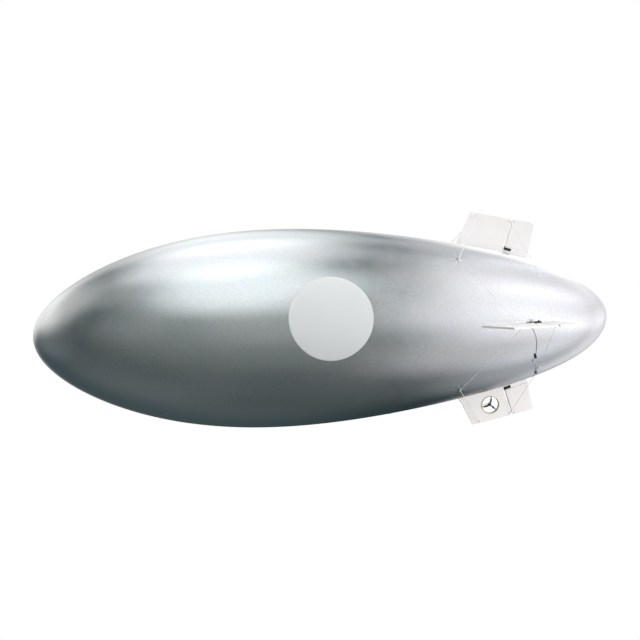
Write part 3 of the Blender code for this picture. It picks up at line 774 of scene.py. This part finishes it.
def make_valve():
    """Filler valve: a welded flange with ribs, a fluted cap and the strap that keeps the cap."""
    place = skin_frame(VALVE_X, FIN_ANGLES["bottom"])
    shape = Shape()
    shape.lathe((
        (0.0125, -0.022), (0.0125, 0.004), (0.0145, 0.0052), (0.0145, 0.0056), (0.0300, 0.0006),
        (0.0197, 0.0006), (0.0197, -0.020), (0.0185, -0.022), (0.0125, -0.022),
    ), place, 64)
    shape.lathe((
        (0, 0.0036), (0.0165, 0.0036), (0.0175, 0.0042), (0.0185, 0.0036), (0.0225, 0.0034), (0.0235, 0.0040),
        (0.0245, 0.0034), (0.0280, 0.0030), (0.0297, 0.0022), (0.0300, 0.0008), (0, 0.0008),
    ), place, 96)
    shape.lathe((
        (0, 0.0160), (0.0105, 0.0160), (0.0115, 0.0155), (0.0125, 0.0155), (0.0140, 0.0160), (0.0153, 0.0152),
        (0.0159, 0.0138), (0.0159, 0.0062), (0.0152, 0.0052), (0, 0.0050),
    ), place, 144, flutes=24, groove=0.02, between=(0.006, 0.0145))
    strap = [
        (0.0150, 0.0105), (0.0185, 0.0112), (0.0215, 0.0095), (0.0235, 0.0062), (0.0262, 0.0042),
        (0.0285, 0.0034),
    ]
    strap = curve_through([place @ Vector((x, 0, z)) for x, z in strap], 4)
    for shift in (-0.0012, 0, 0.0012):
        shape.sweep(strap, 0.0009, ups=[place.col[2].to_3d()] * len(strap), shift=shift)
    shape.piece("valve", "hull", ["white_plastic"], "filler_valve")


def make_patch(which, behind_nose):
    """Hook tape: a woven strip with rounded ends and rows of small hooks standing on it."""
    place = skin_frame(behind_nose, FIN_ANGLES["bottom"], GAP)
    half_long, half_wide = PATCH_SIZE[0] / 2, PATCH_SIZE[1] / 2
    base, corner, inset = 0.0019, 0.004, 0.0005
    outline = []
    for x, y, start in ((1, 1, 0), (-1, 1, 90), (-1, -1, 180), (1, -1, 270)):
        for i in range(9):
            a = radians(start + 90 * i / 8)
            along, across = x * (half_long - corner), y * (half_wide - corner)
            outline.append((along + corner * cos(a), across + corner * sin(a)))
    shape = Shape()
    levels = ((1, 0), (1, base - 0.0004), ((half_wide - inset) / half_wide, base))
    shape.rows([[place @ Vector((x * s, y * s, h)) for x, y in outline] for s, h in levels])
    shape.look = 1
    step, margin, wire = 0.0026, 0.004, 0.0002
    hook = ((0, -0.0003), (0, 0.0011), (0.0003, 0.0017), (0.0008, 0.0018), (0.0011, 0.0014))
    for i in range(int(2 * (half_long - margin) / step) + 1):
        for j in range(int(2 * (half_wide - margin) / step) + 1):
            across = margin - half_wide + j * step + (i % 2) * step / 2
            foot = Vector((margin - half_long + i * step, across, base))
            lean = 1 if (i + j) % 2 else -1
            points = [place @ (foot + Vector((lean * x, 0, z))) for x, z in hook]
            shape.sweep(points, [wire] * 4 + [wire / 2], 4)
    looks = ["tape_weave", "hook"]
    shape.piece(f"hook_tape_{which}", "hull", looks, f"belly_patch_{which}", smooth=45)


def make_fin(side):
    """The fixed board and the control surface. The film doesn't mirror them."""
    angle, body = FIN_ANGLES[side], BODIES[side]
    square = fin_frame(angle).col[2].to_3d()
    control = body.split("_")[1]
    for cad_node, name, rides in (
        (f"fin_{side}", f"fin_board_{side}", "hull"), (f"{control}_{side}", f"{control}_board_{side}", body),
    ):
        board = refined(cad_node, name, rides, ["foam_paper", "foam_core"], 0.0005, square)
        board.visible_glossy = False


def make_torque_rod(side):
    """Carbon rod with a grub-screwed coupler at its foot."""
    hinge = hinge_frame(FIN_ANGLES[side])
    foot, top = SERVO_OUT[1] + SERVO_BOSS_HIGH + GAP, CONTROL_ROOT_OUT - 0.0005
    tip, edge = BEARING_OUT[1] - 0.0005, 0.0003
    shape = Shape()
    shape.lathe((
        (0, tip), (ROD_R - 0.0004, tip), (ROD_R, tip - 0.0004), (ROD_R, top - 0.0002), (0, top - 0.0002),
    ), hinge, 24)
    shape.look = 1
    r = COUPLER_R
    shape.lathe((
        (0, top), (r - edge, top), (r, top - edge), (r, foot + edge), (r - edge, foot), (0, foot),
    ), hinge, 40, flutes=20, groove=0.03)
    shape.look = 2
    shape.lathe((
        (0, r - 0.0002), (0.0004, r - 0.0002), (0.0005, r + 0.0003), (0.0009, r + 0.0003), (0.001, r - 0.001),
        (0, r - 0.001),
    ), moved(hinge, (0, 0, (foot + top) / 2), 90, "Y"), 12)
    looks = ["carbon", "black_plastic", "steel"]
    shape.piece(f"hinge_rod_{side}", BODIES[side], looks, f"torque_rod_{side}")


def make_rod_glue(side):
    """Bead of glue along the control surface's front edge. All rods but the bottom one lie in it."""
    place = fin_frame(FIN_ANGLES[side])
    aft, bead = (CONTROL_FRONT_AFT - 0.0002, 0.0011) if side == "bottom" else (0.0006, 0.0021)
    low, high, step = CONTROL_ROOT_OUT + 0.001, BEARING_OUT[0] - 0.0055, 0.003
    count = round((high - low) / step)
    points, radii = [], []
    for i in range(count + 1):
        out = low + (high - low) * i / count
        points.append(place @ Vector((aft, out, 0)))
        radii.append(bead + 0.00025 * noise.noise(Vector((out * 90, FIN_ANGLES[side], 0))))
    shape = Shape()
    shape.sweep(points, radii, 10)
    shape.piece(f"rod_glue_{side}", BODIES[side], ["glue"])


def screw_head(shape, matrix, radius):
    """A pan head with a cross recess, its foot at the matrix's place."""
    high = radius * 0.55
    shape.lathe((
        (0, high * 0.55), (radius * 0.32, high * 0.6), (radius * 0.42, high), (radius * 0.7, high * 0.9),
        (radius, high * 0.35), (radius, -0.0002), (0, -0.0002),
    ), matrix, 16, flutes=4, groove=0.25, between=(high * 0.5, 1))


def make_bearing(side):
    """Nylon hinge block with the rod's eye, two screws into the fin and a cap over the rod's end."""
    place, hinge = fin_frame(FIN_ANGLES[side]), hinge_frame(FIN_ANGLES[side])
    (foot, top), screw_aft, screw_r = BEARING_OUT, -0.0062, 0.0011
    refined(f"hinge_bearing_{side}", f"rod_bearing_{side}", "hull", ["nylon"], 0.0004)
    shape = Shape()
    for face, turn in ((1, 0), (-1, 180)):
        at = (screw_aft, (foot + top) / 2, face * FIN_THICK / 2)
        screw_head(shape, moved(place, at, turn, "X"), screw_r)
    shape.look = 1
    r = ROD_R + 0.0012
    shape.lathe((
        (0, top + 0.0012), (r - 0.0004, top + 0.0012), (r, top + 0.0008), (r, top - 0.0001),
        (0, top - 0.0001),
    ), hinge, 32)
    shape.piece(f"bearing_trim_{side}", "hull", ["steel", "nylon"])


def make_servo(side):
    """Micro servo let into the root strip: three shells with split lines, tabs, screws, boss and grommet."""
    place, hinge = fin_frame(FIN_ANGLES[side]), hinge_frame(FIN_ANGLES[side])
    (front, rear), (foot, top), half = SERVO_AFT, SERVO_OUT, SERVO_THICK / 2
    (tab_front, tab_rear), (tab_foot, tab_top), tab = SERVO_TAB_AFT, SERVO_TAB_OUT, SERVO_TAB_THICK / 2
    middle, lid, split, inset, edge = (foot + top) / 2, 0.0027, 0.00008, 0.0004, 0.0006
    rib, deep, tab_screw, case_screw = 0.0006, 0.003, 0.0011, 0.0008
    shape = Shape()
    levels = (foot, foot + lid, top - lid, top)
    for low, high in zip(levels, levels[1:]):
        shape.block((front, low + split, -half), (rear, high - split, half), place, edge, 3)
    shape.block(
        (front + inset, foot + inset, inset - half), (rear - inset, top - inset, half - inset), place, 0.0002
    )
    for face in (1, -1):
        ear = (tab_front, tab_foot, face * (half - 0.001)), (tab_rear, tab_top, face * tab)
        shape.block(*ear, place, edge, 3)
        shape.block(
            (tab_rear, middle - rib, face * half), (tab_rear + deep, middle + rib, face * (half + deep)),
            place, rib / 2,
        )
    r, boss_top = SERVO_BOSS_R, top + SERVO_BOSS_HIGH
    shape.lathe((
        (0, boss_top - 0.0002), (r - 0.0009, boss_top), (r - 0.0004, boss_top), (r, boss_top - 0.0004),
        (r, SERVO_BOSS_FOOT + 0.0004), (r - 0.0004, SERVO_BOSS_FOOT), (0, SERVO_BOSS_FOOT),
    ), hinge, 44, flutes=22, groove=0.035, between=(top, 1))
    grommet = (front + 0.0002, foot - 0.0001, 0.0058), (front + 0.0030, foot + 0.0012, 0.0108)
    shape.block(*grommet, place, 0.0004)
    shape.look = 1
    for face in (1, -1):
        at = (tab_rear, middle + 0.0026, face * (tab - 0.0022))
        screw_head(shape, moved(place, at, 90, "Y"), tab_screw)
        for aft in (front + 0.0022, rear - 0.0022):
            for across in (0.0026 - half, half - 0.0026):
                at = (aft, top if face == 1 else foot, across)
                screw_head(shape, moved(place, at, -90 * face, "X"), case_screw)
    shape.piece(f"micro_servo_{side}", "hull", ["servo_case", "steel"], f"servo_{side}")


def make_root_tapes(side):
    """Tape along the fin's foot, before and behind the servo: white on the board, metallised on the film."""
    angle = FIN_ANGLES[side]
    square = fin_frame(angle).col[2].to_3d()
    on_board, on_film, lift, corner, thick, step = 0.0085, 0.006, 0.00025, 0.0007, 0.00012, 0.008
    spans, on_face = ((2.232, 2.440), (2.520, 2.584)), FIN_THICK / 2 + 0.0001
    section = [(on_face, on_board), (on_face, 0.0016), (on_face + 0.0005, corner)]
    section += [(on_face + 0.0005 + on_film * k / 3, lift) for k in (0.2, 1, 2, 3)]
    shape = Shape()
    for face in (1, -1):
        for start, end in spans:
            count = round((end - start) / step)
            rows = []
            for i in range(count + 1):
                x = start + (end - start) * i / count
                under, over = [], []
                for across, height in section:
                    if height > corner:
                        point = skin_frame(x, angle, height).translation + face * across * square
                        outwards = face * square
                    else:
                        here = skin_frame(x, angle + face * across / hull_radius(x) * 180 / pi, height)
                        point, outwards = here.translation, here.col[2].to_3d()
                    under.append(point)
                    over.append(point + thick * outwards)
                rows.append((under, over))
            for look, (first, last) in enumerate(((0, 2), (1, 7))):
                shape.look = look
                shape.rows([under[first:last] + over[first:last][::-1] for under, over in rows])
    shape.piece(f"root_tape_{side}", "hull", ["white_tape", "film_pad"], smooth=50)


def coil(centre, along, radius, turns=3, steps=12, length=0.0034):
    """Cord wound round the line through the centre."""
    side = along.orthogonal().normalized()
    up = side.cross(along)
    points = []
    for i in range(turns * steps + 1):
        a = 2 * pi * i / steps
        slide = (i / (turns * steps) - 0.5) * length
        points.append(centre + along * slide + radius * (side * cos(a) + up * sin(a)))
    return points


def make_stay(which, name, behind_nose, angle):
    """A pad on the skin with a wire eye, and twisted cords from it to both fins, knotted at their ends."""
    end, twist = STAYS[which][2], (3, 0.13, 0.009)
    place = skin_frame(behind_nose, angle, 2 * GAP)
    before = 90 * (angle // 90)
    shape = Shape()
    shape.lathe((
        (0, 0.0021), (0.0040, 0.0019), (0.0062, 0.0011), (0.0085, 0.0007), (0.0112, 0.0006),
        (ANCHOR_R, 0.0003), (ANCHOR_R, 0), (0, 0),
    ), place, 48)
    shape.look = 1
    ring_r, wire, apart, step = 0.0021, 0.00045, 0.0016, 0.0016
    knot_back, knot_r, eye_knot, eye_knot_r, thread = 0.0022, 0.0017, 0.0042, 0.0016, 0.00065
    eye = moved(place, (0, 0, ANCHOR_EYE - 0.0006))
    loop = [eye @ Vector((0, ring_r * cos(a), ring_r * sin(a))) for a in (2 * pi * i / 20 for i in range(21))]
    shape.sweep(loop, wire)
    foot = (0.0008, 0.0019), (0.0012, 0.0016), (0.0030, 0.0022)
    for turn in (-1, 1):
        shape.sweep([place @ Vector((0, turn * y, z)) for y, z in foot], wire * 0.9, 6)
    top = place @ Vector((0, 0, ANCHOR_EYE + 0.0008))
    for fin_angle, face in ((before, -1), (before + 90, 1)):
        fin = fin_frame(fin_angle)
        upright = fin_angle % 180 == 90
        surface = face * (FIN_THICK / 2)
        strands = (-apart, apart) if which == "front" and upright else (0.0,)
        thin = CORD_R * (0.62 if len(strands) > 1 else 0.9)
        shape.look = 3
        shape.lathe((
            (0, 0.0004), (0.0034, 0.0004), (0.0039, 0.0002), (0.0040, -0.0001), (0, -0.0001),
        ), moved(fin, (*end, surface), 0 if face == 1 else 180, "X"), 28)
        # Cords to the upright fins take a darker copy of the white cord, which is painted shade
        shape.look = 4 if upright else 2
        finish = fin @ Vector((*end, face * (FIN_THICK / 2 + CORD_R + GAP)))
        into = fin @ Vector((*end, surface * 0.9))
        for strand in strands:
            start = top + place.col[1].to_3d() * strand
            stop = finish + fin.col[0].to_3d() * strand * 0.25
            count = max(int((stop - start).length / step), 8)
            run = [start.lerp(stop, i / count) for i in range(count + 1)]
            shape.sweep(run, thin, 9, twist=twist)
            curl = [stop + (stop - start).normalized() * s for s in (-0.002, 0.0)]
            shape.sweep([*curl, into.lerp(stop, 0.4), into], thin)
        along = (finish - top).normalized()
        for centre, radius in ((finish - along * knot_back, knot_r), (top + along * eye_knot, eye_knot_r)):
            shape.sweep(coil(centre, along, radius), thread, 6)
    looks = ["film_pad", "steel", "cord", "white_plastic", "cord_shaded"]
    stay = shape.piece(f"bracing_{which}_{name}", "hull", looks, f"stay_{which}_{name}")
    stay.visible_glossy = False


def along_skin(route, steps=8):
    """Places and outward directions of a smooth route over the skin."""
    knots = [Vector((*knot, LAID)[:3]) for knot in route]
    frames = [skin_frame(*knot) for knot in curve_through(knots, steps)]
    return [here.translation for here in frames], [here.col[2].to_3d() for here in frames]


def make_lead(name, places, ups):
    """A flat lead of three insulated strands side by side."""
    shape = Shape()
    strand = 0.00045
    for look, shift in enumerate((-1, 0, 1)):
        shape.look = look
        shape.sweep(places, strand, ups=ups, shift=shift * 1.75 * strand)
    shape.piece(f"servo_{name}", "hull", ["wire_brown", "wire_red", "wire_orange"], name)


def make_leads():
    for name, route in LEADS.items():
        make_lead(name, *along_skin(route))
    rotor = rotor_frame()
    knots = [rotor @ Vector(place) for place in ROTOR_LEAD_START]
    rest, rest_ups = along_skin(ROTOR_LEAD_REST, 1)
    ups = [rotor.col[2].to_3d()] * len(knots) + rest_ups
    steps = 4
    smooth_ups = [ups[0]]
    for a, b in zip(ups, ups[1:]):
        smooth_ups.extend(a.lerp(b, i / steps).normalized() for i in range(1, steps + 1))
    make_lead("lead_rotor", curve_through(knots + rest, steps), smooth_ups)


def box_place(name):
    (behind_nose, angle, turned), (long, wide, high) = BOXES[name]
    return moved(skin_frame(behind_nose, angle, GAP), angle=turned), long / 2, wide / 2, high


def make_plug(name):
    """A lead's plug and socket, latched together: a half with grip ribs and a half with the latch."""
    place, long, wide, high = box_place(name)
    shape = Shape()
    shape.block((-long, -wide, 0), (-0.0006, wide, high), place, 0.0004)
    first, pitch, rib, foot, proud = 0.0022, 0.0016, 0.0008, 0.0008, 0.0002
    for k in range(4):
        x = first - long + k * pitch
        shape.block((x, -wide - proud, foot), (x + rib, wide + proud, high + proud), place, proud, 1)
    shape.look = 1
    shape.block((0.0002, -wide + 0.0003, 0.0002), (long, wide - 0.0003, high - 0.0004), place, 0.0004)
    shape.block((-0.0004, -0.0016, high - 0.0008), (0.0062, 0.0016, high + 0.0002), place, 0.0002)
    shape.piece(f"lead_{name}", "hull", ["black_plastic", "servo_case"], name)


def make_battery():
    """The wrapped pack, and the strap over it that lies on the skin at both sides."""
    place, long, wide, high = box_place("battery")
    shape = Shape()
    shape.block((-long, -wide, 0), (long, wide, high), place, 0.0028, 5)
    shape.piece("battery_pack", "hull", ["shrink_wrap"], "battery", smooth=60)
    reach, thick, half_band = 0.016, 0.0006, 0.008
    radius = hull_radius(BOXES["battery"][0][0])
    over = [
        (wide + reach, 0.0), (wide + 0.003, 0.0002), (wide + 0.0006, 0.003), (wide + 0.0004, high - 0.003),
        (wide - 0.0008, high - 0.0008), (wide - 0.003, high + 0.0003),
    ]
    rows = []
    for y, z in over + [(-y, z) for y, z in over[::-1]]:
        if abs(y) > wide + 0.002:
            base = Vector((0, y, z - (radius - sqrt(radius**2 - y**2) - 0.0003)))
        else:
            base = Vector((0, y, z))
        lying = abs(y) < wide or z < 0.001
        lift = Vector((0, 0, thick)) if lying else Vector((0, thick * (1 if y > 0 else -1), 0))
        across = Vector((half_band, 0, 0))
        section = base - across, base + across, base + lift + across, base + lift - across
        rows.append([place @ point for point in section])
    strap = Shape()
    strap.rows(rows)
    strap.piece("battery_strap", "hull", ["tape_weave"], smooth=50)


def make_receiver():
    """Receiver case: two shells with a split line, the leads' sockets at its ends, four screws."""
    place, long, wide, high = box_place("receiver")
    shape = Shape()
    case, split, screw_r = long - 0.0012, high * 0.55, 0.0012
    shape.block((-case, -wide, 0), (case, wide, split), place, 0.001, 3)
    shape.block((-case, -wide, split + 0.0002), (case, wide, high), place, 0.001, 3)
    for end in (-1, 1):
        for k in range(4):
            y = -wide + 0.0042 + k * (2 * wide - 0.0084) / 3
            socket = (end * (long - 0.0022), y - 0.0024, 0.0032), (end * long, y + 0.0024, 0.0078)
            shape.block(*socket, place, 0.0003, 1)
    shape.look = 1
    for x in (0.0045 - long, long - 0.0045):
        for y in (0.0035 - wide, wide - 0.0035):
            screw_head(shape, moved(place, (x, y, high)), screw_r)
    shape.piece("radio_receiver", "hull", ["servo_case", "steel"], "receiver")


def make_rotor():
    """The fin's duct ring with its plies, the motor's bracket, the motor and the propeller."""
    inner, outer = RING_R
    wide, flush = RING_HALF_WIDE, RING_HALF_WIDE - 0.0004
    rotor = rotor_frame()
    ring = Shape()
    for radius in (outer, inner):
        ring.lathe(((radius, flush), (radius, 0), (radius, -flush)), rotor, 120)
    plies = [inner + (outer - inner) * k / 3 for k in range(4)]
    for k, (low, high) in enumerate(zip(plies, plies[1:])):
        ring.look = 1 + k % 2
        for face in (1, -1):
            first, last = flush if k == 0 else wide, flush if k == 2 else wide
            points = ((low, face * first), ((low + high) / 2, face * wide), (high, face * last))
            ring.lathe(points, rotor, 120)
    looks = ["plywood", "plywood_light", "plywood_dark"]
    ring.piece("duct_ring", "hull", looks, "rotor_ring", smooth=50)
    refined("rotor_bracket", "motor_bracket", "hull", ["plywood"], 0.0004)
    make_motor(rotor)
    make_propeller(rotor)


def make_motor(rotor):
    """Small brushed motor: a drawn can with vents, a nose bush, the shaft, and an end bell with terminals."""
    low, high = MOTOR_SPAN
    r, tip = MOTOR_R, PROP_SPAN[0] + 0.001
    shape = Shape()
    shape.lathe((
        (0, high - 0.003), (r - 0.0006, high - 0.003), (r, high - 0.0036), (r, low + 0.0018),
        (r - 0.0003, low + 0.0012), (r - 0.0008, low + 0.0008), (0.0024, low + 0.0007), (0.0022, low),
        (0, low),
    ), rotor, 64)
    shape.lathe(((0, low), (0.0005, low), (0.0005, tip), (0, tip)), rotor, 16)
    shape.look = 1
    shape.lathe((
        (0, high), (0.0022, high), (0.0024, high - 0.0012), (r - 0.0012, high - 0.0014),
        (r - 0.0005, high - 0.002), (r - 0.0005, high - 0.0032), (0, high - 0.0032),
    ), rotor, 64)
    for angle in range(30, 360, 60):
        vent = (r - 0.0004, -0.0012, high - 0.0075), (r + 0.00006, 0.0012, high - 0.0045)
        shape.block(*vent, rotor_frame(angle), 0.0001, 1)
    shape.look = 2
    for angle in (90, 270):
        terminal = (0.0030, -0.0007, high - 0.0016), (0.0034, 0.0007, high)
        shape.block(*terminal, rotor_frame(angle), 0.0001, 1)
    shape.piece("tail_motor", "hull", ["motor_can", "black_plastic", "steel"], "rotor_motor")


def airfoil(count=9):
    """A thin cambered section, chord 1, from its trailing edge over the top and back underneath."""
    upper, lower = [], []
    for i in range(count + 1):
        s = (1 + cos(pi * i / count)) / 2
        camber = 0.12 * s * (1 - s)
        thick = 0.30 * (0.2969 * sqrt(s) - 0.126 * s - 0.3516 * s**2 + 0.2843 * s**3 - 0.1036 * s**4)
        upper.append((s, camber + thick))
        lower.append((s, camber - thick))
    return upper + lower[-2:0:-1]


def make_propeller(rotor):
    root, stations, section = PROP_HUB_R * 0.6, 18, airfoil()
    shape = Shape()
    for angle in BLADE_ANGLES:
        turned = rotor_frame(angle)
        rows = []
        for i in range(stations + 1):
            share = i / stations
            out = root + (PROP_R - root) * share
            chord = 0.0056 + 0.0046 * sin(pi * min(share * 1.08, 1)) - 0.0034 * share**6
            if i == stations:
                chord *= 0.45
            pitch = radians(42 - 27 * share)
            row = []
            for s, h in section:
                across, up = (s - 0.42) * chord + 0.0006 * share**2, h * chord * (1.25 - 0.35 * share)
                y = across * cos(pitch) - up * sin(pitch)
                z = across * sin(pitch) + up * cos(pitch) + PROP_BLADE_W
                row.append(turned @ Vector((out, y, z)))
            rows.append(row)
        shape.rows(rows)
    low, high = PROP_SPAN
    r = PROP_HUB_R
    shape.lathe((
        (0, high), (r - 0.0003, high), (r, high - 0.0003), (r, low + 0.0022), (r - 0.0004, low + 0.001),
        (r - 0.0014, low + 0.0002), (0.0012, low), (0.0006, low), (0.0006, low + 0.0008), (0, low + 0.0008),
    ), rotor, 48)
    looks = ["propeller"]
    shape.piece("three_blade_propeller", "tail_propeller", looks, "propeller", smooth=40)


LOOKS = {name: grained(name, *values) for name, values in GRAINED.items()}
LOOKS.update({
    "floor_paper": floor_look(),
    "film": film_look(),
    "foam_core": foam_core_look(),
    "nylon": grained("nylon", (0.74, 0.72, 0.73), 0.4, 0, 1800, 0.04, 1e-5, Subsurface_Weight=0.15),
    "carbon": marked(
        "carbon", (0.30, 0.25, 0.29), 0.36, (2500, 3.0, "UV", (1, 0.02, 1)), (0.5, 1.7), 2e-5,
        Coat_Weight=0.25, Coat_Roughness=0.2,
    ),
    "shrink_wrap": marked(
        "shrink_wrap", (0.035, 0.055, 0.12), 0.22, (160, 4.0, "Object", (0.35, 1, 1)), (0.7, 1.4), 0.0004
    ),
    "plywood": plywood_look("plywood", (0.40, 0.33, 0.13)),
    "plywood_light": plywood_look("plywood_light", (0.55, 0.47, 0.22)),
    "plywood_dark": plywood_look("plywood_dark", (0.24, 0.18, 0.07)),
    "motor_can": brushed_look("motor_can", (0.62, 0.54, 0.36), (0.05, 1, 1)),
    "steel": brushed_look("steel", (0.6, 0.6, 0.6), (0.2, 1, 1)),
    "cord": cord_look("cord", (0.93, 0.94, 0.92)),
    # A darker copy of the white cord: painted shade for the cords to the upright fins
    "cord_shaded": cord_look("cord_shaded", (0.84, 0.84, 0.83)),
    "tape_weave": weave_look("tape_weave", (0.028, 0.028, 0.03)),
})

make_camera()
make_world()
make_lamps()
make_floor()
make_envelope()
make_valve()
for which, behind_nose in PATCH_X.items():
    make_patch(which, behind_nose)
for side in ("port", "starboard"):
    make_panel(side)
for side in FIN_ANGLES:
    make_fin(side)
    make_torque_rod(side)
    make_rod_glue(side)
    make_bearing(side)
    make_servo(side)
    make_root_tapes(side)
make_rotor()
for stay in anchors():
    make_stay(*stay)
make_leads()
for name in ("plug_port_1", "plug_port_2", "plug_starboard"):
    make_plug(name)
make_battery()
make_receiver()
